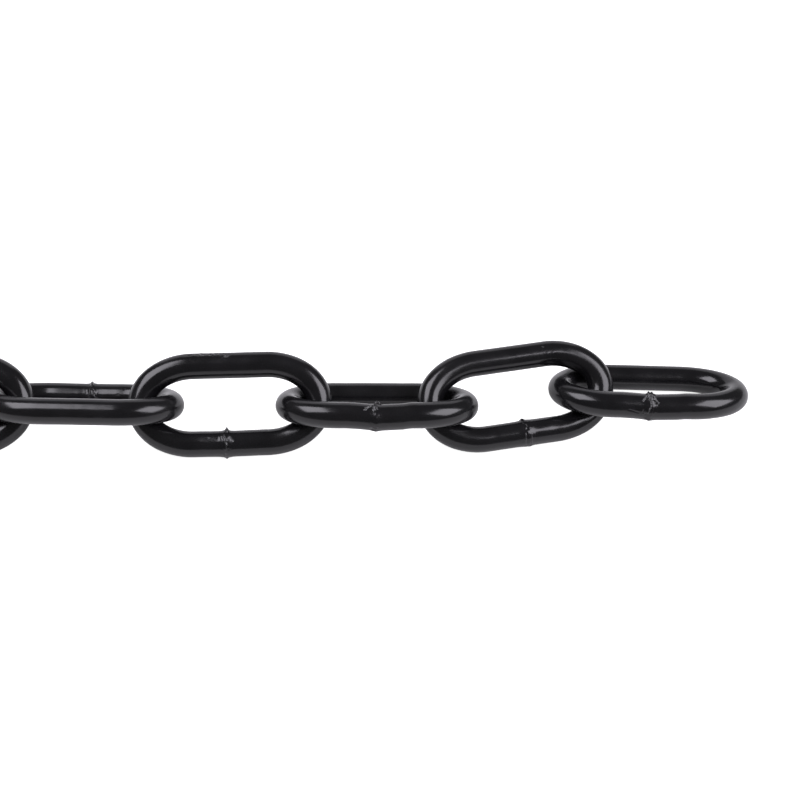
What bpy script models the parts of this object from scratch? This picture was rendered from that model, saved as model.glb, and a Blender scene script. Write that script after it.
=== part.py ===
"""One metre of welded steel chain lying on the floor: 6 mm wire, links 35 mm long inside and 24 mm wide.

The 29 links run along X, with link_01 at the right. Each is one bar bent to a long ring and welded shut in the
middle of one strand. They lean to the back and to the front by turns, with one strand on the floor. The five
links at the right lie as the photo shows them, and the rest go on to the left at an even spacing. Every link
but the first has its origin where it hangs on the link before it, and turns there about its own Z axis. Units
are metres, and +Z is up.
"""
import math
from dataclasses import dataclass

import bpy
from mathutils import Matrix, Vector

LINK_COUNT = 29
WIRE_RADIUS = 0.0030
INNER_LENGTH = 0.0350
OUTER_WIDTH = 0.0240
CROWN_LENGTH = 0.0120          # how far a crown's centre line reaches past the straight strands
WELD_SWELL = 0.06              # share of the wire's radius that the butt weld adds
WELD_SPREAD = 0.0009           # standard deviation of the weld's swelling along the strand
WELD_STATIONS = (-0.0026, -0.0010, 0.0, 0.0010, 0.0026)
WIRE_SIDES = 10
CROWN_STEPS = 11               # odd, so that a flat facet faces the link's middle at each crown
LEVEL_SHARE = 0.25             # part of a crown, from its tip, where the wire's facets lie square to the link
PAINT_RGBA = (0.011, 0.011, 0.012, 1.0)
PAINT_ROUGHNESS = 0.18

EVEN_SPACING = 0.0342
EVEN_ACROSS = 0.0037
EVEN_LEAN = 38.0               # degrees
TURN_SWING = 2.0               # degrees that the unseen links turn off the chain's line, one way and the other
TURN_PHASE = 1.9               # radians of that swing from one link to the next
BACK_WELD_EVERY = 4            # of the unseen links, this often one has its weld on the back strand

HALF_LENGTH = INNER_LENGTH / 2 + WIRE_RADIUS       # to the centre of the wire at a crown
HALF_WIDTH = OUTER_WIDTH / 2 - WIRE_RADIUS         # to the centre of the wire in a strand
HALF_STRAND = HALF_LENGTH - CROWN_LENGTH
FACET_ANGLE = 2 * math.pi / WIRE_SIDES


@dataclass(frozen=True)
class Lay:
    """How one link lies: its centre, its turn on the floor, its lean, and where its weld is."""

    name: str
    along: float               # centre along the chain, metres
    across: float              # centre to the back of the chain's line, metres
    turn: float                # degrees about the vertical
    lean: float                # degrees; positive lifts the back strand, negative lifts the front strand
    weld_side: int             # 1 for the back strand, -1 for the front strand
    weld_at: float             # weld's place along the strand, metres


SEEN_LINKS = (
    Lay("link_01", 0.0640, 0.0027, -4.0, -28.0, -1, -0.0013),
    Lay("link_02", 0.0326, 0.0021, 8.5, 30.5, -1, 0.0017),
    Lay("link_03", 0.0, 0.0, -2.3, -35.0, -1, -0.0010),
    Lay("link_04", -0.0339, 0.0013, 0.0, 37.0, -1, -0.0010),
    Lay("link_05", -0.0679, 0.0026, -3.5, -38.0, 1, 0.0015),
)


def chain_lays():
    """Returns how every link lies: the five of the photo, then the rest in a row to their left."""
    lays = list(SEEN_LINKS)
    while len(lays) < LINK_COUNT:
        number = len(lays) + 1
        along = lays[-1].along - EVEN_SPACING
        turn = TURN_SWING * math.sin(TURN_PHASE * number)
        lean = -EVEN_LEAN if number % 2 else EVEN_LEAN
        weld_side = -1 if number % BACK_WELD_EVERY else 1
        lays.append(Lay(f"link_{number:02d}", along, EVEN_ACROSS, turn, lean, weld_side, 0.0))
    return lays


def clear_scene():
    """Takes every object out of the open file."""
    for obj in list(bpy.data.objects):
        bpy.data.objects.remove(obj, do_unlink=True)


def black_paint():
    """Returns the gloss black paint that every link has."""
    paint = bpy.data.materials.new("black_gloss_paint")
    paint.use_nodes = True
    shader = paint.node_tree.nodes["Principled BSDF"]
    shader.inputs["Base Color"].default_value = PAINT_RGBA
    shader.inputs["Roughness"].default_value = PAINT_ROUGHNESS
    paint.diffuse_color = PAINT_RGBA
    return paint


def floor_turn(lay):
    """Returns how far the wire's section turns, in radians, to lay one facet of a leaning link on the floor.

    At a crown's tip a facet faces along the link's width. The floor lies at 90 degrees less the lean from there,
    so the least turn that brings a facet round to it is what is left of that angle after whole facets.
    """
    to_floor = math.pi / 2 - abs(math.radians(lay.lean))
    return (to_floor + FACET_ANGLE / 2) % FACET_ANGLE - FACET_ANGLE / 2


def strand_points(lay, side):
    """Returns a straight strand's stations as (x, y, section turn, radius share), in the order of travel."""
    stations = [-HALF_STRAND, HALF_STRAND]
    if side == lay.weld_side:
        stations += [lay.weld_at + offset for offset in WELD_STATIONS]
    points = []
    for x in sorted(stations, reverse=side > 0):
        swell = 0.0
        if side == lay.weld_side:
            swell = WELD_SWELL * math.exp(-((x - lay.weld_at) / WELD_SPREAD) ** 2 / 2)
        points.append((x, side * HALF_WIDTH, FACET_ANGLE / 2 + floor_turn(lay), 1 + swell))
    return points


def crown_points(lay, end):
    """Returns the stations of the half ellipse at one end, without the two that the strands already have."""
    points = []
    for step in range(1, CROWN_STEPS):
        angle = math.pi * step / CROWN_STEPS - end * math.pi / 2
        x = end * HALF_STRAND + CROWN_LENGTH * math.cos(angle)
        y = HALF_WIDTH * math.sin(angle)
        turned_share = max(0.0, (abs(math.sin(angle)) - LEVEL_SHARE) / (1 - LEVEL_SHARE))
        points.append((x, y, FACET_ANGLE / 2 + floor_turn(lay) * turned_share, 1.0))
    return points


def link_curve(lay):
    """Makes one link in its own plane: a closed wire round two straight strands and two crowns."""
    curve = bpy.data.curves.new(lay.name, "CURVE")
    curve.dimensions = "3D"
    curve.twist_mode = "Z_UP"
    curve.bevel_depth = WIRE_RADIUS
    curve.bevel_resolution = WIRE_SIDES // 2 - 2
    curve.resolution_u = 1
    curve.render_resolution_u = 0
    points = strand_points(lay, -1) + crown_points(lay, 1) + strand_points(lay, 1) + crown_points(lay, -1)
    spline = curve.splines.new("POLY")
    spline.points.add(len(points) - 1)
    spline.use_cyclic_u = True
    spline.use_smooth = True
    for point, (x, y, section_turn, radius) in zip(spline.points, points):
        point.co = (x, y, 0.0, 1.0)
        point.tilt = section_turn
        point.radius = radius
    return curve


def corners_of(obj):
    """Returns the corners of an object's finished mesh, in its own coordinates."""
    evaluated = obj.evaluated_get(bpy.context.evaluated_depsgraph_get())
    corners = [Vector(vertex.co) for vertex in evaluated.to_mesh().vertices]
    evaluated.to_mesh_clear()
    return corners


def resting_place(lay, corners):
    """Returns a link's place when it is turned and leans, and its lowest corner is on the floor."""
    turned = Matrix.Rotation(math.radians(lay.turn), 4, "Z") @ Matrix.Rotation(math.radians(lay.lean), 4, "X")
    lowest = min((turned @ corner).z for corner in corners)
    return Matrix.Translation((lay.along, lay.across, -lowest)) @ turned


def centred(places, corners):
    """Returns the places moved so that the middle of the whole chain's underside is the origin."""
    world = [place @ corner for place, own in zip(places, corners) for corner in own]
    shift = [-(min(c[axis] for c in world) + max(c[axis] for c in world)) / 2 for axis in (0, 1)]
    return [Matrix.Translation((*shift, 0.0)) @ place for place in places]


def hanging_point(holder, held):
    """Returns where the left crown of the holding link passes through the held link's plane.

    A point of that crown's centre line lies at x = -(HALF_STRAND + CROWN_LENGTH cos(angle)) and
    y = HALF_WIDTH sin(angle), so its height over the plane is a constant, a cosine and a sine of the angle.
    """
    normal = held.col[2].xyz
    crown_middle = holder @ Vector((-HALF_STRAND, 0.0, 0.0))
    constant = normal.dot(crown_middle - held.translation)
    cosine = -CROWN_LENGTH * normal.dot(holder.col[0].xyz)
    sine = HALF_WIDTH * normal.dot(holder.col[1].xyz)
    angle = math.asin(-constant / math.copysign(math.hypot(cosine, sine), sine)) - math.atan(cosine / sine)
    return holder @ Vector((-HALF_STRAND - CROWN_LENGTH * math.cos(angle), HALF_WIDTH * math.sin(angle), 0.0))


def main():
    """Builds the links in their own collection, each parented to the link that holds it."""
    clear_scene()
    collection = bpy.data.collections.new("steel_chain")
    bpy.context.scene.collection.children.link(collection)
    paint = black_paint()
    lays = chain_lays()
    links = [bpy.data.objects.new(lay.name, link_curve(lay)) for lay in lays]
    for link in links:
        link.data.materials.append(paint)
        collection.objects.link(link)
    bpy.context.view_layer.update()
    corners = [corners_of(link) for link in links]
    places = centred([resting_place(lay, own) for lay, own in zip(lays, corners)], corners)
    links[0].matrix_world = places[0]
    for holder, held, held_place, holder_place in zip(links, links[1:], places[1:], places):
        hinge = held_place.inverted() @ hanging_point(holder_place, held_place)
        held.data.transform(Matrix.Translation(-hinge))
        bpy.context.view_layer.update()
        held.parent = holder
        held.matrix_world = held_place @ Matrix.Translation(hinge)
    bpy.context.view_layer.update()


if __name__ == "__main__":
    main()
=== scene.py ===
"""The looks of a length of welded steel chain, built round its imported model.

Every link is one closed surface: a round wire carried along two straight strands and two half-ellipse
crowns, with the butt weld, its beads of metal and the paint's small faults raised out of it. The five links
at the right lie as the photograph shows them, each with its own weld, and the rest have welds of the same
kinds. A bright white table, two soft boxes and a back card make the studio. Units are metres unless a
comment or a docstring says otherwise, and +Z is up.
"""

import logging
import math
from dataclasses import dataclass, replace
from enum import Enum, IntEnum

import bpy
import numpy as np
from mathutils import Matrix, Vector


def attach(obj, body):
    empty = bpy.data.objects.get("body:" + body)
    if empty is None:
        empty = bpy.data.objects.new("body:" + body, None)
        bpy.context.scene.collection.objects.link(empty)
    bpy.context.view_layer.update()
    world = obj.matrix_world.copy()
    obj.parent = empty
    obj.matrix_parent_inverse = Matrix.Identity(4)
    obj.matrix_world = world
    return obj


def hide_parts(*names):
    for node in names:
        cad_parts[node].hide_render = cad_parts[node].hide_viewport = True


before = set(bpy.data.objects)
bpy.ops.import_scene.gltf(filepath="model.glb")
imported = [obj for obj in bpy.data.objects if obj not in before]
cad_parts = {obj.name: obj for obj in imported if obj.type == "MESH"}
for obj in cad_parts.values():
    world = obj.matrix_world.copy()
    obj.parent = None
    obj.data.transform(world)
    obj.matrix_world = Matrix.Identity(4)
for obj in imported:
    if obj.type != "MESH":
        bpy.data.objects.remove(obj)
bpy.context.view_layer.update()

LOG = logging.getLogger("chain")
WELD_ATTRIBUTE = "weld_share"
# share of pale grey on each link's mesh: paint rubbed through to the steel, and painted highlight on the
# weld's glinting beads and scuffs
BARE_AND_HIGHLIGHT_ATTRIBUTE = "bare_and_highlight_share"
CENTRE_LINK = "link_03"        # the link in the middle of the photograph
MM = 0.001
FULL_TURN = 360.0              # degrees
FLAT_POWER = 4                 # exp(-x^4) is a hill with a flat top and steep sides
FLAT_HILL_AREA = 1.81          # area under exp(-x^4)
LEAST_SQUARE = 1e-9            # least squared length of a bead's line, so that a dot can be a bead too

# The hash behind the noise: a factor for each axis and for the seed, then two rounds. Each mixes the key with
# its own bits, shifted down, and multiplies it, all within 32 bits.
AXIS_FACTORS = (73856093, 19349663, 83492791)
SEED_FACTOR = 6542989
HASH_ROUNDS = ((13, 1274126177), (16, 668265263))
LARGEST_KEY = 0xFFFFFFFF
HALF_KEY = LARGEST_KEY // 2

# Where something is on a link's wire: millimetres along it from the middle of the weld, towards the right
# on a front strand and towards the left on a back one, and degrees round it from 0, which faces out of the
# link, by 90, which faces up from the link's plane.
Spot = tuple[float, float]

Span = tuple[float, float]     # the ends of a range
Point = tuple[float, float, float]
Colour = tuple[float, float, float, float]
Socket = bpy.types.NodeSocket


class Strand(Enum):
    """Which of a link's two straight strands is meant, as the sign of its place across the link."""

    FRONT = -1.0
    BACK = 1.0


class WeldKind(Enum):
    """How the weld of a link outside the photograph looks: its swelling and its lumps, in millimetres."""

    TRIMMED = (0.10, 0.02)     # a thin ring, all but filed off
    COLLARED = (0.22, 0.04)    # a smooth swelling with a ring on it
    SPLASHED = (0.16, 0.08)    # a ring with beads of metal pushed out beside it


class NoiseLayer(IntEnum):
    """Which of a link's noises is meant, as the number that is added to its weld's seed."""

    WANDER = 0
    RING = 10
    LUMPS = 20
    FINE_LUMPS = 30
    WAVE = 40
    DIMPLE = 50
    FRAY = 60
    SCUFF = 80


def wrapped(value: np.ndarray | float, whole: float) -> np.ndarray | float:
    """Returns a difference on a closed loop of that length, brought between minus and plus half of it."""
    return (value + whole / 2) % whole - whole / 2


def smoothstep(share: np.ndarray) -> np.ndarray:
    """Returns 3 s^2 - 2 s^3, which rises from 0 to 1 with a level start and a level end."""
    return share * share * (3.0 - 2.0 * share)


def value_noise(points: np.ndarray, cell: float, seed: int) -> np.ndarray:
    """Gives smooth noise between -1 and 1.

    Each corner of a cubic lattice gets a value from a hash of its whole coordinates. A point blends the
    eight corners round it, by the smoothstep of its place in the cell.

    Args:
        points: places, with x, y and z in the last axis.
        cell: side of a lattice cell.
        seed: picks another pattern.

    Returns:
        One value for each point.
    """
    scaled = points / cell
    lowest = np.floor(scaled).astype(np.int64)
    share = smoothstep(scaled - lowest)
    total = np.zeros(points.shape[:-1])
    for corner in np.ndindex(2, 2, 2):
        key = ((lowest + np.array(corner)) * np.array(AXIS_FACTORS)).sum(axis=-1) + seed * SEED_FACTOR
        for shift, factor in HASH_ROUNDS:
            key = ((key ^ (key >> shift)) * factor) & LARGEST_KEY
        weight = np.prod(np.where(np.array(corner) == 1, share, 1.0 - share), axis=-1)
        total += weight * (key / HALF_KEY - 1.0)
    return total


@dataclass(frozen=True)
class Skin:
    """The surface of a link's round wire, unrolled, in millimetres."""

    along: np.ndarray          # each point's place along the wire from the middle of the weld, as a column
    around: np.ndarray         # its place round the wire from the line that faces out of the link, as a row
    points: np.ndarray         # the same points in space
    length: float              # of the closed wire
    girth: float

    def noise(self, cell: float, seed: int) -> np.ndarray:
        """Returns smooth noise between -1 and 1 at each point."""
        return value_noise(self.points, cell, seed)

    def arc(self, degrees: float) -> float:
        """Returns how far that angle is round the wire."""
        return degrees / FULL_TURN * self.girth

    def past(self, spot: Spot) -> tuple[np.ndarray, np.ndarray]:
        """Returns how far each point is past the spot, along the wire and round it."""
        along, around = spot[0], self.arc(spot[1])
        return wrapped(self.along - along, self.length), wrapped(self.around - around, self.girth)

    def frayed(self, shift: float, cell: float, seed: int) -> "Skin":
        """Shifts each point's place on the unrolled wire by noise, so that lines drawn there are ragged.

        Args:
            shift: the most that a place moves, along the wire and round it.
            cell: size of the noise.
            seed: picks its pattern.

        Returns:
            The surface with the shifted places. Its points in space stay.
        """
        along = self.along + shift * self.noise(cell, seed)
        around = self.around + shift * self.noise(cell, seed + 1)
        return replace(self, along=along, around=around)


@dataclass(frozen=True)
class Bead:
    """A raised line or dot on the wire, in millimetres. A negative height makes a groove or a pit."""

    start: Spot
    end: Spot
    height: float
    thickness: float
    bare_and_highlight: float = 0.0          # pale grey on it, from 0 to 1: rubbed paint and painted highlight

    def cover(self, skin: Skin) -> np.ndarray:
        """Works out how much of the bead there is at each point.

        It is exp(-(d / thickness)^2), where d is the distance on the unrolled wire to the line from start to
        end.

        Args:
            skin: the wire's surface.

        Returns:
            The shares, from 0 to 1.
        """
        past_along, past_around = skin.past(self.start)
        line_along = self.end[0] - self.start[0]
        line_around = skin.arc(wrapped(self.end[1] - self.start[1], FULL_TURN))
        squared = max(line_along ** 2 + line_around ** 2, LEAST_SQUARE)
        share = np.clip((past_along * line_along + past_around * line_around) / squared, 0.0, 1.0)
        away = np.hypot(past_along - share * line_along, past_around - share * line_around)
        return np.exp(-(away / self.thickness) ** 2)


@dataclass(frozen=True)
class Scuff:
    """A patch of scabby paint: noise in a soft-edged oval, in millimetres and degrees."""

    centre: Spot
    reach: Spot
    depth: float
    cell: float = 0.35
    bare_and_highlight: float = 0.0          # pale grey on its high spots, from 0 to 1: rubbed paint and painted highlight
    fine_share: float = 0.6    # strength of a second noise, of half the cell
    wear_and_highlight_gain: float = 2.0     # the pale grey is this times the relief's share, less the start, from 0 to 1
    wear_and_highlight_start: float = 0.3

    def grain(self, skin: Skin, seed: int) -> np.ndarray:
        """Works out the patch's relief as a share of its depth.

        It is noise of two sizes times exp(-(x / reach)^4 - (y / reach)^4), with x and y from the centre.

        Args:
            skin: the wire's surface.
            seed: picks the pattern.

        Returns:
            The shares, mostly between -1 and 1.
        """
        past_along, past_around = skin.past(self.centre)
        across = past_around / skin.arc(self.reach[1])
        window = np.exp(-(past_along / self.reach[0]) ** FLAT_POWER - across ** FLAT_POWER)
        fine = self.fine_share * skin.noise(self.cell / 2, seed + 1)
        return window * (skin.noise(self.cell, seed) + fine)

    def wear_and_highlight(self, grain: np.ndarray) -> np.ndarray:
        """Returns the share of pale grey, for rubbed paint and painted highlight, where the relief is that
        share of its depth.
        """
        return self.bare_and_highlight * np.clip(self.wear_and_highlight_gain * grain - self.wear_and_highlight_start, 0.0, 1.0)


@dataclass(frozen=True)
class Weld:
    """A butt weld: its place on the link and how its metal stands out, in millimetres."""

    strand: Strand
    at: float                  # along the strand from the link's middle, towards the right
    swell: float = 0.16
    swell_reach: float = 0.9
    ring: float = 0.10
    ring_slant: float = 0.3    # how far the ring leans along the wire as it goes round
    lumps: float = 0.04
    sag: float = 0.0           # how far the strand bends below the link's plane at the weld
    bulge: float = 0.0         # how far it bends outwards there
    fade: tuple[float, float] = (1.4, 1.4)     # powers by which both die away, to the left and to the right
    beads: tuple[Bead, ...] = ()
    scuffs: tuple[Scuff, ...] = ()
    seed: int = 1

    # The rest are the same for every weld.
    ring_width: float = 0.16
    ring_wander: float = 0.25  # how far noise moves the ring along the wire
    wander_cell: float = 1.3
    ring_level: float = 0.6    # share of the ring's height that it has on the average
    ring_swing: float = 0.6    # share by which noise makes it higher and lower
    swing_cell: float = 0.9
    lump_reach: float = 1.5
    lump_cell: float = 0.55
    fine_lump_cell: float = 0.27
    fine_lump_share: float = 0.5
    share_gain: float = 4.0    # how much weld the paint shows for each millimetre of relief
    fray: float = 0.06         # how far noise moves the beads' edges
    fray_cell: float = 0.45

    def noise(self, skin: Skin, cell: float, layer: NoiseLayer) -> np.ndarray:
        """Returns one of the noises that are this link's own, between -1 and 1 at each point."""
        return skin.noise(cell, self.seed + layer)

    def metal(self, skin: Skin) -> tuple[np.ndarray, np.ndarray, np.ndarray]:
        """Works out how far the metal and the paint stand out of the round wire.

        The parts are added up: a Gaussian swelling round the weld, a narrow ring whose middle wanders along
        the wire as it goes round, noise that fades away from the weld, the beads with ragged edges, and the
        scuffs.

        Args:
            skin: the wire's surface.

        Returns:
            The height in millimetres, how much of the weld there is, and the share of pale grey that stands
            for rubbed paint and painted highlight. The last two are from 0 to 1.
        """
        turn = 2 * math.pi * skin.around / skin.girth
        swell = self.swell * np.exp(-(skin.along / self.swell_reach) ** 2)
        moved = self.ring_wander * self.noise(skin, self.wander_cell, NoiseLayer.WANDER)
        wander = self.ring_slant * np.sin(turn + self.seed) + moved
        uneven = self.ring_level + self.ring_swing * self.noise(skin, self.swing_cell, NoiseLayer.RING)
        ring = self.ring * uneven * np.exp(-((skin.along - wander) / self.ring_width) ** 2)
        window = np.exp(-(skin.along / self.lump_reach) ** 2)
        fine_lumps = self.fine_lump_share * self.noise(skin, self.fine_lump_cell, NoiseLayer.FINE_LUMPS)
        lumps = self.noise(skin, self.lump_cell, NoiseLayer.LUMPS) + fine_lumps
        height = swell + ring + self.lumps * window * lumps
        share = np.clip(self.share_gain * window * np.abs(height), 0.0, 1.0)
        # pale grey: paint rubbed through, and painted highlight on the beads and scuffs that should glint
        bare_and_highlight = np.zeros_like(height)
        ragged = skin.frayed(self.fray, self.fray_cell, self.seed + NoiseLayer.FRAY)
        for bead in self.beads:
            cover = bead.cover(ragged)
            height = height + bead.height * cover
            share = np.maximum(share, cover)
            bare_and_highlight = np.maximum(bare_and_highlight, bead.bare_and_highlight * cover)
        for order, scuff in enumerate(self.scuffs):
            grain = scuff.grain(skin, self.seed + NoiseLayer.SCUFF + 2 * order)
            height = height + scuff.depth * grain
            share = np.maximum(share, np.clip(np.abs(grain), 0.0, 1.0))
            bare_and_highlight = np.maximum(bare_and_highlight, scuff.wear_and_highlight(grain))
        return height, share, bare_and_highlight


# A bead's fifth number paints it pale grey: rubbed paint, and painted highlight where it glints.
SEEN_WELDS: dict[str, Weld] = {
    "link_05": Weld(
        Strand.BACK, 1.25, swell=0.10, ring=0.06, ring_slant=0.25, lumps=0.03, sag=0.12, bulge=0.25, seed=5,
        beads=(
            Bead((0.35, 72.0), (0.1, 112.0), 0.42, 0.36),
            Bead((0.75, 100.0), (0.5, 170.0), -0.10, 0.20),
            Bead((-0.05, 146.0), (-0.2, 158.0), 0.20, 0.26, 0.3),
            Bead((-0.45, 150.0), (-1.35, 180.0), -0.12, 0.20),
            Bead((-1.15, 160.0), (-1.35, 168.0), 0.08, 0.28),
            Bead((-7.6, 137.0), (-7.9, 131.0), -0.06, 0.16),
            Bead((-6.1, 161.0), (-6.2, 158.0), -0.06, 0.16),
        ),
    ),
    "link_04": Weld(
        Strand.FRONT, -1.0, swell=0.20, swell_reach=1.1, ring=0.07, ring_slant=0.1, lumps=0.03, sag=-0.35,
        bulge=0.12, fade=(1.6, 1.2), seed=4,
        beads=(
            Bead((0.1, 182.0), (0.2, 150.0), 0.66, 0.34),
            Bead((-1.05, 116.0), (-0.95, 104.0), 0.28, 0.25, 0.5),
            Bead((0.75, 112.0), (1.05, 102.0), 0.32, 0.36, 0.6),
            Bead((-0.45, 124.0), (-0.3, 117.0), 0.20, 0.18, 0.3),
            Bead((0.0, 109.0), (0.1, 101.0), 0.18, 0.18, 0.3),
            Bead((-0.05, 88.0), (0.0, -10.0), 0.07, 0.15, 0.05),
            Bead((0.0, 6.0), (0.0, -12.0), 0.20, 0.35),
            Bead((-3.7, 117.0), (-2.4, 115.0), 0.02, 0.35),
        ),
        scuffs=(
            Scuff((-44.0, 27.0), (5.0, 18.0), 0.090, 0.4, 0.35),
            Scuff((-47.8, 50.0), (1.5, 9.0), 0.080, 0.35, 0.4),
        ),
    ),
    "link_03": Weld(
        Strand.FRONT, -0.5, swell=0.17, ring=0.02, ring_slant=0.35, lumps=0.02, sag=0.55, bulge=0.22,
        fade=(1.8, 0.7), seed=3,
        beads=(
            Bead((-0.3, 92.0), (0.05, 112.0), 0.38, 0.20),
            Bead((0.05, 112.0), (0.7, 112.0), 0.38, 0.20),
            Bead((0.7, 112.0), (1.0, 92.0), 0.34, 0.20),
            Bead((0.35, 99.0), (0.5, 88.0), -0.18, 0.24),
            Bead((0.4, 86.0), (-0.5, 78.0), 0.18, 0.13, 0.2),
            Bead((-0.5, 78.0), (-1.35, 68.0), 0.20, 0.13, 0.3),
            Bead((-1.35, 68.0), (-2.4, 52.0), 0.22, 0.14, 0.3),
            Bead((-2.35, 52.0), (-2.5, 47.0), 0.18, 0.22),
            Bead((-0.5, 62.0), (-0.4, 52.0), 0.28, 0.25, 0.7),
            Bead((0.2, 59.0), (0.3, 54.0), 0.14, 0.16, 0.3),
            Bead((-0.9, 308.0), (0.5, 306.0), 0.12, 0.35),
        ),
        scuffs=(Scuff((-0.3, 318.0), (1.2, 22.0), 0.080, 0.30, 0.25),),
    ),
    "link_02": Weld(
        Strand.FRONT, 0.65, swell=0.16, swell_reach=1.3, ring=0.03, ring_slant=0.3, lumps=0.02, sag=-0.25,
        fade=(1.0, 1.0), seed=2,
        beads=(
            Bead((-0.5, 184.0), (-0.45, 162.0), 0.36, 0.40),
            Bead((-0.5, 150.0), (-0.5, 135.0), -0.06, 0.18),
            Bead((-0.5, 135.0), (0.05, 97.0), -0.09, 0.18),
            Bead((-0.25, 100.0), (-0.2, 99.0), -0.10, 0.20),
            Bead((-0.75, 79.0), (-0.75, 31.0), 0.07, 0.12, 0.15),
            Bead((0.7, 75.0), (0.7, 28.0), 0.07, 0.12, 0.15),
            Bead((-6.35, 116.0), (-6.35, 115.0), -0.12, 0.20),
            Bead((0.7, 12.0), (0.6, -8.0), 0.12, 0.35),
            Bead((41.65, 68.0), (41.75, 66.0), 0.03, 0.16, 0.3),
            Bead((40.8, 99.0), (40.7, 97.0), 0.03, 0.16, 0.3),
            Bead((39.5, 98.0), (39.4, 97.0), 0.03, 0.16, 0.3),
        ),
    ),
    "link_01": Weld(
        Strand.FRONT, -1.0, swell=0.16, ring=0.07, ring_slant=0.3, lumps=0.04, sag=0.45, fade=(1.8, 0.7),
        seed=7,
        beads=(
            Bead((-0.75, 92.0), (-0.35, 108.0), 0.28, 0.22),
            Bead((-0.35, 108.0), (0.55, 108.0), 0.28, 0.22),
            Bead((0.55, 108.0), (0.95, 92.0), 0.26, 0.22),
            Bead((0.1, 99.0), (0.15, 90.0), -0.12, 0.24),
            Bead((-0.4, 80.0), (-0.15, 66.0), 0.22, 0.26, 0.5),
            Bead((0.25, 76.0), (0.3, 60.0), 0.20, 0.20, 0.4),
            Bead((0.15, 62.0), (0.0, 46.0), 0.20, 0.15, 0.4),
            Bead((-0.85, 74.0), (-1.85, 48.0), 0.20, 0.13, 0.4),
            Bead((0.75, 74.0), (1.6, 42.0), 0.22, 0.14, 0.4),
            Bead((0.0, 46.0), (0.0, 22.0), 0.15, 0.13, 0.2),
            Bead((0.0, 22.0), (-0.8, -8.0), 0.13, 0.14, 0.15),
            Bead((0.05, 70.0), (0.05, 68.0), -0.20, 0.14),
            Bead((-0.15, 57.0), (-0.1, 55.0), -0.16, 0.15),
            Bead((0.35, 68.0), (0.75, 54.0), -0.14, 0.14),
            Bead((-4.9, 0.0), (-2.8, -10.0), -0.08, 0.20),
            Bead((-0.9, -42.0), (-0.2, -46.0), 0.18, 0.40),
        ),
        scuffs=(
            Scuff((-0.1, 66.0), (0.9, 18.0), 0.100, 0.22, 0.5),
            Scuff((-1.3, -4.0), (1.1, 18.0), 0.050, 0.35, 0.15),
        ),
    ),
}


@dataclass(frozen=True)
class UnseenWelds:
    """Makes up the welds of the links outside the photograph, in millimetres and degrees.

    A span is the range that a value is drawn from.
    """

    back_every: int = 4        # of the links, this often one has its weld on the back strand, as packed
    ring: Span = (0.05, 0.13)
    ring_slant: Span = (0.1, 0.5)
    sag: Span = (0.0, 0.5)
    bead_count: int = 6
    bead_along: Span = (-1.2, 1.2)
    bead_around: Span = (20.0, 190.0)
    bead_run: Span = (-0.9, 0.9)           # how far a bead goes along the wire
    bead_climb: Span = (-25.0, 25.0)       # how far it goes round it
    bead_height: Span = (0.15, 0.40)
    bead_thickness: float = 0.28

    def beads(self, draw: np.random.Generator) -> tuple[Bead, ...]:
        """Draws the beads of a splashed weld.

        Args:
            draw: where the random numbers come from.

        Returns:
            The beads.
        """
        spans = (self.bead_along, self.bead_around, self.bead_run, self.bead_climb, self.bead_height)
        along, around, run, climb, heights = (draw.uniform(*span, self.bead_count) for span in spans)
        starts, ends = zip(along, around), zip(along + run, around + climb)
        return tuple(Bead(*line, self.bead_thickness) for line in zip(starts, ends, heights))

    def weld(self, number: int) -> Weld:
        """Makes up one weld, of one of the kinds seen in the photograph.

        Args:
            number: the link's number, which seeds the draws.

        Returns:
            The weld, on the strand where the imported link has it.
        """
        draw = np.random.default_rng(number)
        kind = list(WeldKind)[number % len(WeldKind)]
        strand = Strand.FRONT if number % self.back_every else Strand.BACK
        swell, lumps = kind.value
        beads = self.beads(draw) if kind is WeldKind.SPLASHED else ()
        ring, ring_slant, sag = (draw.uniform(*span) for span in (self.ring, self.ring_slant, self.sag))
        return Weld(strand, 0.0, swell=swell, ring=ring, ring_slant=ring_slant, lumps=lumps, sag=sag,
                    beads=beads, seed=number)


@dataclass(frozen=True)
class WirePath:
    """The closed centre line of a link in its plane: two straight strands and two half-ellipse crowns."""

    half_strand: float = 0.0085    # half the length of a straight strand
    half_width: float = 0.0090     # half the way from one strand to the other
    crown_length: float = 0.0120   # how far a crown reaches past the strands
    crown_samples: int = 721

    def ring(self) -> np.ndarray:
        """Works out the whole line as rows of x, y and the outward direction's x and y.

        The right crown runs from the front strand to the back one as (half_strand + crown_length cos t,
        half_width sin t) for t from -90 to 90 degrees. The left crown is the same turned by half a turn, and
        the straight strands are the steps between them.

        Returns:
            The rows, of which the last repeats the first.
        """
        turn = np.linspace(-math.pi / 2, math.pi / 2, self.crown_samples)
        cosine, sine = np.cos(turn), np.sin(turn)
        place = np.stack([self.half_strand + self.crown_length * cosine, self.half_width * sine], axis=1)
        outward = np.stack([self.half_width * cosine, self.crown_length * sine], axis=1)
        outward /= np.linalg.norm(outward, axis=1, keepdims=True)
        right = np.concatenate([place, outward], axis=1)
        return np.concatenate([right, -right, right[:1]])

    def travels(self, ring: np.ndarray) -> np.ndarray:
        """Returns how far along the line each row of the ring lies."""
        steps = np.linalg.norm(np.diff(ring[:, :2], axis=0), axis=1)
        return np.concatenate([[0.0], np.cumsum(steps)])

    def weld_travel(self, weld: Weld, travels: np.ndarray) -> float:
        """Works out how far along the line the middle of the weld lies.

        Args:
            weld: the link's weld.
            travels: how far along the line each row of the ring lies.

        Returns:
            The distance from the ring's first row.
        """
        from_right = self.half_strand - weld.at * MM
        if weld.strand is Strand.FRONT:
            return float(travels[-1]) - from_right
        return float(travels[self.crown_samples - 1]) + from_right


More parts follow.
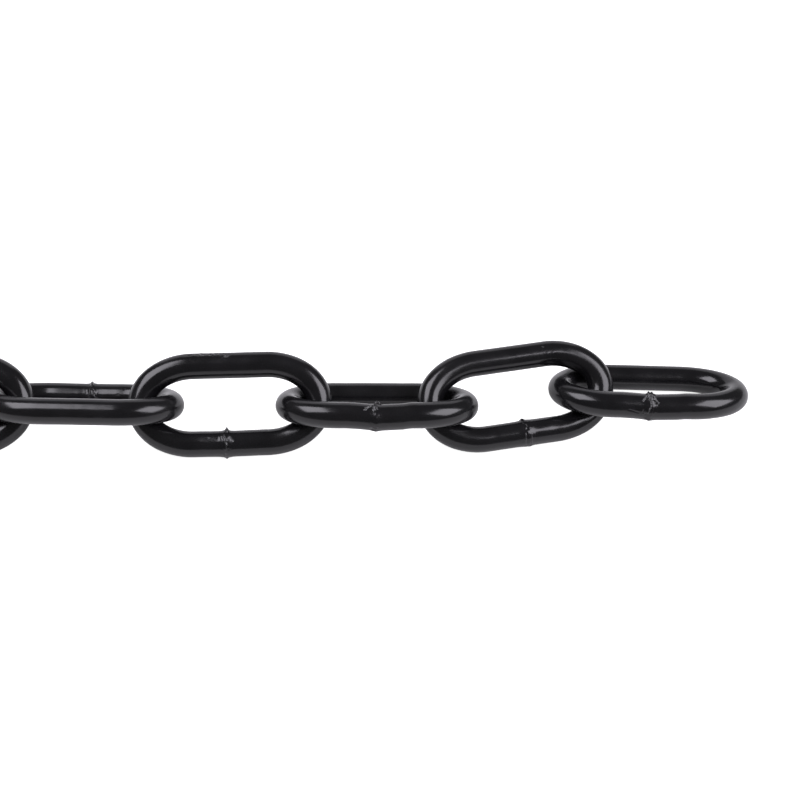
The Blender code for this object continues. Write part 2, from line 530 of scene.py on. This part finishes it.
@dataclass(frozen=True)
class Fineness:
    """How finely a link's surface is divided."""

    stations: int              # along the whole wire
    sides: int                 # round it
    weld_step: float           # from one station to the next at the weld
    weld_reach: float = 0.0042
    samples: int = 6001        # along the wire, at which the stations' density is summed up

    def stations_along(self, length: float, weld_travel: float) -> np.ndarray:
        """Sets the stations along the wire, close together at the weld and even elsewhere.

        The number of stations per metre is a base value plus a flat-topped hill exp(-(gap / reach)^4) round
        the weld, and the stations are where its running sum passes equal steps.

        Args:
            length: length of the closed centre line.
            weld_travel: where the weld's middle is on it.

        Returns:
            Travel of each station.
        """
        fine = np.linspace(0.0, length, self.samples)
        hill = np.exp(-(wrapped(fine - weld_travel, length) / self.weld_reach) ** FLAT_POWER)
        hill_count = FLAT_HILL_AREA * self.weld_reach / self.weld_step
        density = max(self.stations - hill_count, 1.0) / length + hill / self.weld_step
        running = np.concatenate([[0.0], np.cumsum((density[1:] + density[:-1]) / 2)])
        return np.interp(np.linspace(0.0, running[-1], self.stations, endpoint=False), running, fine)


@dataclass(frozen=True)
class LinkPlace:
    """Where a link lies: its middle, and its directions along, across and up from its plane."""

    middle: np.ndarray
    along: np.ndarray
    across: np.ndarray
    upward: np.ndarray

    @classmethod
    def read(cls, node: bpy.types.Object, wire_radius: float, half_width: float) -> "LinkPlace":
        """Reads a link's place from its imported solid.

        The directions are the principal axes of the surface, each triangle weighted by its area. The packed
        wire is many-sided, so the height is set anew: the round wire's lower strand rests on the floor.

        Args:
            node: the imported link.
            wire_radius: radius of the round wire.
            half_width: from the link's middle to the centre of the wire in a strand.

        Returns:
            The place, with along towards +X and across towards +Y.
        """
        mesh = node.data
        mesh.calc_loop_triangles()
        corners = np.empty(len(mesh.vertices) * 3)
        mesh.vertices.foreach_get("co", corners)
        triangles = np.empty(len(mesh.loop_triangles) * 3, dtype=np.int32)
        mesh.loop_triangles.foreach_get("vertices", triangles)
        faces = corners.reshape(-1, 3)[triangles.reshape(-1, 3)]
        area = np.linalg.norm(np.cross(faces[:, 1] - faces[:, 0], faces[:, 2] - faces[:, 0]), axis=1)
        centres = faces.mean(axis=1)
        middle = (centres * area[:, None]).sum(axis=0) / area.sum()
        offset = centres - middle
        axes = np.linalg.eigh((offset * area[:, None]).T @ offset)[1]
        along = axes[:, 2] * np.sign(axes[0, 2])
        across = axes[:, 1] * np.sign(axes[1, 1])
        middle[2] = wire_radius + half_width * abs(across[2])
        return cls(middle, along, across, np.cross(along, across))


@dataclass(frozen=True)
class Wiring:
    """A material's node tree, and the kinds of node that are wired into it more than once."""

    tree: bpy.types.NodeTree

    def join(self, output: Socket, socket: Socket) -> None:
        """Links an output to an input."""
        self.tree.links.new(output, socket)

    def attribute(self, name: str) -> Socket:
        """Adds a node that reads one of the mesh's own attributes.

        Args:
            name: the attribute's name.

        Returns:
            Its value.
        """
        node = self.tree.nodes.new("ShaderNodeAttribute")
        node.attribute_name = name
        return node.outputs["Fac"]

    def noise(self, place: Socket, size: float, detail: float) -> Socket:
        """Adds a noise texture.

        Args:
            place: the coordinates that it reads.
            size: size of its pattern, in metres.
            detail: how many finer layers it has.

        Returns:
            Its value.
        """
        node = self.tree.nodes.new("ShaderNodeTexNoise")
        node.inputs["Scale"].default_value = 1.0 / size
        node.inputs["Detail"].default_value = detail
        self.join(place, node.inputs["Vector"])
        return node.outputs["Fac"]

    def scaled(self, value: Socket, factor: Socket | float, added: Socket | float = 0.0) -> Socket:
        """Adds a node that gives value times factor plus added.

        Args:
            value: an output of another node.
            factor: an output, or a number.
            added: an output, or a number.

        Returns:
            The sum.
        """
        node = self.tree.nodes.new("ShaderNodeMath")
        node.operation = "MULTIPLY_ADD"
        for socket, source in zip(node.inputs, (value, factor, added)):
            if isinstance(source, Socket):
                self.join(source, socket)
            else:
                socket.default_value = source
        return node.outputs["Value"]

    def bump(self, height: Socket, depth: float, below: Socket | None = None) -> Socket:
        """Adds a bump.

        Args:
            height: the relief, from 0 to 1.
            depth: how deep it is, in metres.
            below: the normal of another bump that it lies on.

        Returns:
            The normal.
        """
        node = self.tree.nodes.new("ShaderNodeBump")
        node.inputs["Distance"].default_value = depth
        self.join(height, node.inputs["Height"])
        if below is not None:
            self.join(below, node.inputs["Normal"])
        return node.outputs["Normal"]


@dataclass(frozen=True)
class BlackGlossPaint:
    """Thick gloss black paint, as dipped chain has: slightly wavy, dusty, duller at the welds, and pale grey
    where the paint is rubbed through, which also paints highlights on the weld's beads.
    """

    deep: Colour = (0.0052, 0.0050, 0.0058, 1.0)
    thin: Colour = (0.0080, 0.0077, 0.0088, 1.0)
    thin_span: Span = (0.35, 0.70)         # of the clouds' noise, over which the coat goes from deep to thin
    gloss: float = 0.15                    # roughness of the glossiest coat
    dull: float = 0.23                     # roughness of the dullest
    dull_span: Span = (0.30, 0.75)         # of the same noise, over which it goes from gloss to dull
    cloud_size: float = 0.006
    cloud_detail: float = 3.0
    weld_dulling: float = 0.02             # roughness that the weld adds
    # pale grey of rubbed-through paint, which also paints the glints on the weld's beads and scuffs as
    # highlight
    bare_metal_and_highlight: Colour = (0.20, 0.20, 0.205, 1.0)
    bare_and_highlight_dulling: float = 0.25             # roughness that the pale grey of rubbed paint and painted highlight adds
    peel_size: float = 0.0009
    peel_detail: float = 1.0
    peel_depth: float = 0.0000022
    grain_size: float = 0.00022
    grain_detail: float = 2.0
    grain_depth: float = 0.0000012
    weld_grain: float = 6.0                # how many times as deep again the grain is at a weld
    refraction: float = 1.5

    def material(self) -> bpy.types.Material:
        """Builds the paint from noise on Object coordinates and the mesh's own weld attributes.

        Returns:
            The material.
        """
        paint = bpy.data.materials.new("gloss_black_paint")
        paint.use_nodes = True
        paint.diffuse_color = self.thin
        wiring = Wiring(paint.node_tree)
        shader = paint.node_tree.nodes["Principled BSDF"]
        shader.inputs["IOR"].default_value = self.refraction
        place = paint.node_tree.nodes.new("ShaderNodeTexCoord").outputs["Object"]
        clouds = wiring.noise(place, self.cloud_size, self.cloud_detail)
        weld = wiring.attribute(WELD_ATTRIBUTE)
        # the pale grey of rubbed paint and painted highlight
        bare_and_highlight = wiring.attribute(BARE_AND_HIGHLIGHT_ATTRIBUTE)
        wiring.join(self.colour(wiring, clouds, bare_and_highlight), shader.inputs["Base Color"])
        wiring.join(self.roughness(wiring, clouds, weld, bare_and_highlight), shader.inputs["Roughness"])
        wiring.join(self.relief(wiring, place, weld), shader.inputs["Normal"])
        return paint

    def colour(self, wiring: Wiring, clouds: Socket, bare_and_highlight: Socket) -> Socket:
        """Wires the colour: clouds of deep and thin coat, and pale grey where the coat is rubbed through,
        which also paints highlights.

        Args:
            wiring: the material's nodes.
            clouds: the noise of the clouds.
            bare_and_highlight: how much pale grey of rubbed paint and painted highlight there is.

        Returns:
            The colour.
        """
        coat = wiring.tree.nodes.new("ShaderNodeValToRGB")
        for stop, position, tint in zip(coat.color_ramp.elements, self.thin_span, (self.deep, self.thin)):
            stop.position = position
            stop.color = tint
        wiring.join(clouds, coat.inputs["Fac"])
        wear_and_highlight = wiring.tree.nodes.new("ShaderNodeMix")
        wear_and_highlight.data_type = "RGBA"
        wear_and_highlight.inputs["B"].default_value = self.bare_metal_and_highlight
        wiring.join(bare_and_highlight, wear_and_highlight.inputs["Factor"])
        wiring.join(coat.outputs["Color"], wear_and_highlight.inputs["A"])
        return wear_and_highlight.outputs["Result"]

    def roughness(self, wiring: Wiring, clouds: Socket, weld: Socket, bare_and_highlight: Socket) -> Socket:
        """Wires the roughness: clouds of gloss and dull coat, duller at the weld and under the pale grey of
        rubbed paint and painted highlight.

        Args:
            wiring: the material's nodes.
            clouds: the noise of the clouds.
            weld: how much of the weld there is.
            bare_and_highlight: how much pale grey of rubbed paint and painted highlight there is.

        Returns:
            The roughness.
        """
        coat = wiring.tree.nodes.new("ShaderNodeMapRange")
        coat.inputs["From Min"].default_value, coat.inputs["From Max"].default_value = self.dull_span
        coat.inputs["To Min"].default_value = self.gloss
        coat.inputs["To Max"].default_value = self.dull
        wiring.join(clouds, coat.inputs["Value"])
        dulled = wiring.scaled(weld, self.weld_dulling, coat.outputs["Result"])
        return wiring.scaled(bare_and_highlight, self.bare_and_highlight_dulling, dulled)

    def relief(self, wiring: Wiring, place: Socket, weld: Socket) -> Socket:
        """Wires the fine relief: the coat's slow peel under a fine grain, which is deeper at the weld.

        Args:
            wiring: the material's nodes.
            place: the Object coordinates.
            weld: how much of the weld there is.

        Returns:
            The normal.
        """
        peel = wiring.bump(wiring.noise(place, self.peel_size, self.peel_detail), self.peel_depth)
        strength = wiring.scaled(weld, self.weld_grain, 1.0)
        grain = wiring.scaled(wiring.noise(place, self.grain_size, self.grain_detail), strength)
        return wiring.bump(grain, self.grain_depth, peel)


@dataclass(frozen=True)
class ChainLink:
    """One link of the chain: a round wire bent to a long ring and welded shut."""

    name: str
    place: LinkPlace
    weld: Weld
    fineness: Fineness
    path: WirePath
    wire_radius: float
    wave: float = 0.022        # height of the wire's slow unevenness, millimetres, as the three below
    wave_cell: float = 4.5
    dimple: float = 0.006
    dimple_cell: float = 1.4
    bend_ease: float = 0.35    # share of the strand, next to a crown, over which its bend sets in

    def centre_line(self, stations: np.ndarray, along: np.ndarray) -> tuple[np.ndarray, np.ndarray]:
        """Works out the wire's centre line and its outward direction in space.

        The strand bends at the weld, by the sag against the link's upward direction and by the bulge
        outwards. Both die away as n^fade times the smoothstep of n / bend_ease, where n = 1 - gap / strand
        and strand is the length of strand on that side of the weld.

        Args:
            stations: travel along the closed line.
            along: the same from the weld's middle, as a column.

        Returns:
            A point and a direction for each station, each with an axis of length one for the sides.
        """
        ring = self.path.ring()
        travels = self.path.travels(ring)
        x, y, out_x, out_y = (np.interp(stations, travels, column)[:, None, None] for column in ring.T)
        outward = out_x * self.place.along + out_y * self.place.across
        outward /= np.linalg.norm(outward, axis=-1, keepdims=True)
        to_right = self.path.half_strand - self.weld.at * MM
        to_left = self.path.half_strand + self.weld.at * MM
        is_right = along * -self.weld.strand.value > 0.0
        nearness = np.clip(1.0 - np.abs(along) / np.where(is_right, to_right, to_left), 0.0, 1.0)
        ease = smoothstep(np.minimum(nearness / self.bend_ease, 1.0))
        fade_left, fade_right = self.weld.fade
        bend = (MM * ease * nearness ** np.where(is_right, fade_right, fade_left))[..., None]
        centre = self.place.middle + x * self.place.along + y * self.place.across
        return centre + bend * (self.weld.bulge * outward - self.weld.sag * self.place.upward), outward

    def surface(self) -> tuple[np.ndarray, np.ndarray, np.ndarray]:
        """Works out the link's surface, station by station along the wire and side by side round it.

        A point is the centre line's point plus the radius times (cos t outward + sin t upward). The radius
        is the wire's own plus the weld's relief, slow waves and fine dimples. Nothing goes below the floor.

        Returns:
            The points with a row for each station, the share of weld at each, and the share of pale grey
            for rubbed paint and painted highlight at each.
        """
        travels = self.path.travels(self.path.ring())
        length = float(travels[-1])
        weld_travel = self.path.weld_travel(self.weld, travels)
        stations = self.fineness.stations_along(length, weld_travel)
        along = wrapped(stations - weld_travel, length)[:, None]
        around = np.linspace(0.0, 2 * math.pi, self.fineness.sides, endpoint=False)[None, :]
        centre, outward = self.centre_line(stations, along)
        section = np.cos(around)[..., None] * outward + np.sin(around)[..., None] * self.place.upward
        radius = self.wire_radius / MM
        skin = Skin(
            along=along / MM,
            around=around * radius,
            points=(centre + self.wire_radius * section) / MM,
            length=length / MM,
            girth=2 * math.pi * radius,
        )
        height, share, bare_and_highlight = self.weld.metal(skin)
        height = height + self.wave * self.weld.noise(skin, self.wave_cell, NoiseLayer.WAVE)
        height = height + self.dimple * self.weld.noise(skin, self.dimple_cell, NoiseLayer.DIMPLE)
        points = centre + (self.wire_radius + height * MM)[..., None] * section
        points[..., 2] = np.maximum(points[..., 2], 0.0)
        return points, share, bare_and_highlight

    def build(self, paint: bpy.types.Material) -> bpy.types.Object:
        """Makes the link's mesh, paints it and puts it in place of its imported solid.

        Args:
            paint: the finish of every link.

        Returns:
            The finished piece.
        """
        points, share, bare_and_highlight = self.surface()
        stations, sides = share.shape
        index = np.arange(stations * sides).reshape(stations, sides)
        ahead = np.roll(index, -1, axis=0)
        quads = np.stack([index, ahead, np.roll(ahead, -1, axis=1), np.roll(index, -1, axis=1)], axis=-1)
        mesh = bpy.data.meshes.new(f"painted_{self.name}")
        mesh.from_pydata(points.reshape(-1, 3), [], quads.reshape(-1, 4))
        # the second attribute paints pale grey: rubbed paint, and painted highlight on the glinting beads and
        # scuffs
        for attribute, values in ((WELD_ATTRIBUTE, share), (BARE_AND_HIGHLIGHT_ATTRIBUTE, bare_and_highlight)):
            layer = mesh.attributes.new(attribute, "FLOAT", "POINT")
            layer.data.foreach_set("value", values.ravel().astype(np.float32))
        mesh.shade_smooth()
        mesh.materials.append(paint)
        piece = bpy.data.objects.new(f"painted_{self.name}", mesh)
        bpy.context.scene.collection.objects.link(piece)
        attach(piece, self.name)
        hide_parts(self.name)
        return piece


@dataclass(frozen=True)
class Chain:
    """The whole chain, whose links are divided more finely where the photograph shows them."""

    path: WirePath = WirePath()
    wire_radius: float = 0.0030
    seen: Fineness = Fineness(stations=480, sides=150, weld_step=0.00009)
    unseen: Fineness = Fineness(stations=160, sides=32, weld_step=0.00025)
    unseen_welds: UnseenWelds = UnseenWelds()

    def link(self, name: str, node: bpy.types.Object) -> ChainLink:
        """Settles a link's place, weld and fineness.

        Args:
            name: the link's name, which ends in its number.
            node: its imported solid.

        Returns:
            The link, without a mesh yet.
        """
        place = LinkPlace.read(node, self.wire_radius, self.path.half_width)
        if name in SEEN_WELDS:
            weld, fineness = SEEN_WELDS[name], self.seen
        else:
            weld, fineness = self.unseen_welds.weld(int(name.removeprefix("link_"))), self.unseen
        return ChainLink(name, place, weld, fineness, self.path, self.wire_radius)


def grey(level: float) -> Colour:
    """Returns an opaque grey of that level."""
    return (level, level, level, 1.0)


@dataclass(frozen=True)
class SoftBox:
    """A flat soft light that the camera doesn't see."""

    name: str
    place: Point               # from the aim
    facing: Point              # the spot that it faces, from the aim
    width: float
    height: float
    radiance: float            # how bright its face is
    colour: tuple[float, float, float] = (0.95, 0.925, 1.0)

    def build(self, aim: Vector) -> None:
        """Hangs the light, with its width level.

        Args:
            aim: the spot of the table that the studio is set up round.
        """
        light = bpy.data.lights.new(self.name, "AREA")
        light.shape = "RECTANGLE"
        light.size, light.size_y = self.width, self.height
        light.color = self.colour
        light.energy = self.radiance * math.pi * self.width * self.height
        lamp = bpy.data.objects.new(self.name, light)
        lamp.location = aim + Vector(self.place)
        lamp.rotation_euler = (Vector(self.place) - Vector(self.facing)).to_track_quat("Z", "Y").to_euler()
        lamp.visible_camera = False
        bpy.context.scene.collection.objects.link(lamp)


@dataclass(frozen=True)
class Studio:
    """The white table, the soft lights and the dim room round them."""

    aim: Vector
    floor_size: float = 16.0
    floor_white: float = 0.75
    floor_roughness: float = 0.6
    floor_glow: float = 0.15       # light that the table gives off by itself
    camera_glow: float = 0.95      # the same to the camera, so that shadows all but vanish
    room: float = 0.11             # how pale the room is to the chain
    backdrop: float = 1.0          # how pale it is to the camera
    boxes: tuple[SoftBox, ...] = (
        SoftBox("left_soft_box", place=(-0.25, 0.055, 0.385), facing=(0.0, 0.055, 0.0),
                width=0.34, height=0.28, radiance=5.4),
        SoftBox("right_soft_box", place=(0.43, -0.135, 0.43), facing=(0.0, 0.0, 0.0),
                width=0.48, height=0.44, radiance=5.2),
        SoftBox("back_card", place=(0.0, 2.5, 0.65), facing=(0.0, 0.0, 0.0),
                width=2.6, height=1.3, radiance=0.7),
    )

    def build(self) -> None:
        """Sets up the floor, the lights and the room."""
        self.floor()
        for box in self.boxes:
            box.build(self.aim)
        self.surroundings()
        view = bpy.context.scene.view_settings
        view.view_transform = "Standard"
        view.look = "None"

    def floor(self) -> None:
        """Lays the pale table, which gives the camera more light than it gives the chain."""
        half = self.floor_size / 2
        corners = [(-half, -half, 0.0), (half, -half, 0.0), (half, half, 0.0), (-half, half, 0.0)]
        mesh = bpy.data.meshes.new("table")
        mesh.from_pydata(corners, [], [(0, 1, 2, 3)])
        white = bpy.data.materials.new("white_table")
        white.use_nodes = True
        wiring = Wiring(white.node_tree)
        shader = white.node_tree.nodes["Principled BSDF"]
        shader.inputs["Base Color"].default_value = grey(self.floor_white)
        shader.inputs["Roughness"].default_value = self.floor_roughness
        shader.inputs["Emission Color"].default_value = grey(1.0)
        to_camera = white.node_tree.nodes.new("ShaderNodeLightPath").outputs["Is Camera Ray"]
        glow = wiring.scaled(to_camera, self.camera_glow - self.floor_glow, self.floor_glow)
        wiring.join(glow, shader.inputs["Emission Strength"])
        mesh.materials.append(white)
        table = bpy.data.objects.new("table", mesh)
        bpy.context.scene.collection.objects.link(table)

    def surroundings(self) -> None:
        """Makes the room dim for light and reflections, with a pale backdrop behind the table."""
        world = bpy.data.worlds.new("room")
        world.use_nodes = True
        bpy.context.scene.world = world
        nodes, links = world.node_tree.nodes, world.node_tree.links
        dim = nodes["Background"]
        dim.inputs["Color"].default_value = grey(self.room)
        pale = nodes.new("ShaderNodeBackground")
        pale.inputs["Color"].default_value = grey(self.backdrop)
        seen = nodes.new("ShaderNodeLightPath")
        mix = nodes.new("ShaderNodeMixShader")
        links.new(seen.outputs["Is Camera Ray"], mix.inputs["Fac"])
        links.new(dim.outputs["Background"], mix.inputs[1])
        links.new(pale.outputs["Background"], mix.inputs[2])
        links.new(mix.outputs["Shader"], nodes["World Output"].inputs["Surface"])


@dataclass(frozen=True)
class PhotoCamera:
    """The photograph's point of view, as fitted to the outlines of the five links in it."""

    azimuth: float = 5.53          # degrees that the view turns from +Y towards +X
    elevation: float = 49.47       # degrees above the table
    roll: float = -2.61            # degrees
    distance: float = 0.3989
    aim_offset: Point = (0.00532, 0.00067, 0.0090)     # from the table under the centre link
    focal_length: float = 77.50    # millimetres, as the sensor's width
    sensor_width: float = 36.0
    nearest: float = 0.01          # the nearest and the farthest that the camera sees
    farthest: float = 50.0

    def build(self, ground: Vector) -> None:
        """Places the camera.

        Args:
            ground: the spot of the table under the centre link's middle.
        """
        azimuth, elevation = math.radians(self.azimuth), math.radians(self.elevation)
        roll = math.radians(self.roll)
        forward = Vector((
            math.sin(azimuth) * math.cos(elevation),
            math.cos(azimuth) * math.cos(elevation),
            -math.sin(elevation),
        ))
        level = Vector((math.cos(azimuth), -math.sin(azimuth), 0.0))
        down = forward.cross(level)
        right = level * math.cos(roll) + down * math.sin(roll)
        down = down * math.cos(roll) - level * math.sin(roll)
        data = bpy.data.cameras.new("photo_camera")
        data.sensor_width = self.sensor_width
        data.lens = self.focal_length
        data.clip_start, data.clip_end = self.nearest, self.farthest
        camera = bpy.data.objects.new("photo_camera", data)
        position = ground + Vector(self.aim_offset) - forward * self.distance
        turned = Matrix((right, -down, -forward)).transposed().to_4x4()
        camera.matrix_world = Matrix.Translation(position) @ turned
        bpy.context.scene.collection.objects.link(camera)
        bpy.context.scene.camera = camera


def main() -> None:
    """Builds every link, the studio and the camera, and notes the sizes."""
    logging.basicConfig(level=logging.INFO, format="%(name)s: %(message)s")
    paint = BlackGlossPaint().material()
    chain = Chain()
    links = {name: chain.link(name, node) for name, node in sorted(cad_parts.items())}
    for link in links.values():
        piece = link.build(paint)
        LOG.info("%s: %d faces", piece.name, len(piece.data.polygons))
    middle = links[CENTRE_LINK].place.middle
    ground = Vector((middle[0], middle[1], 0.0))
    Studio(aim=ground).build()
    PhotoCamera().build(ground)


if __name__ == "__main__":
    main()
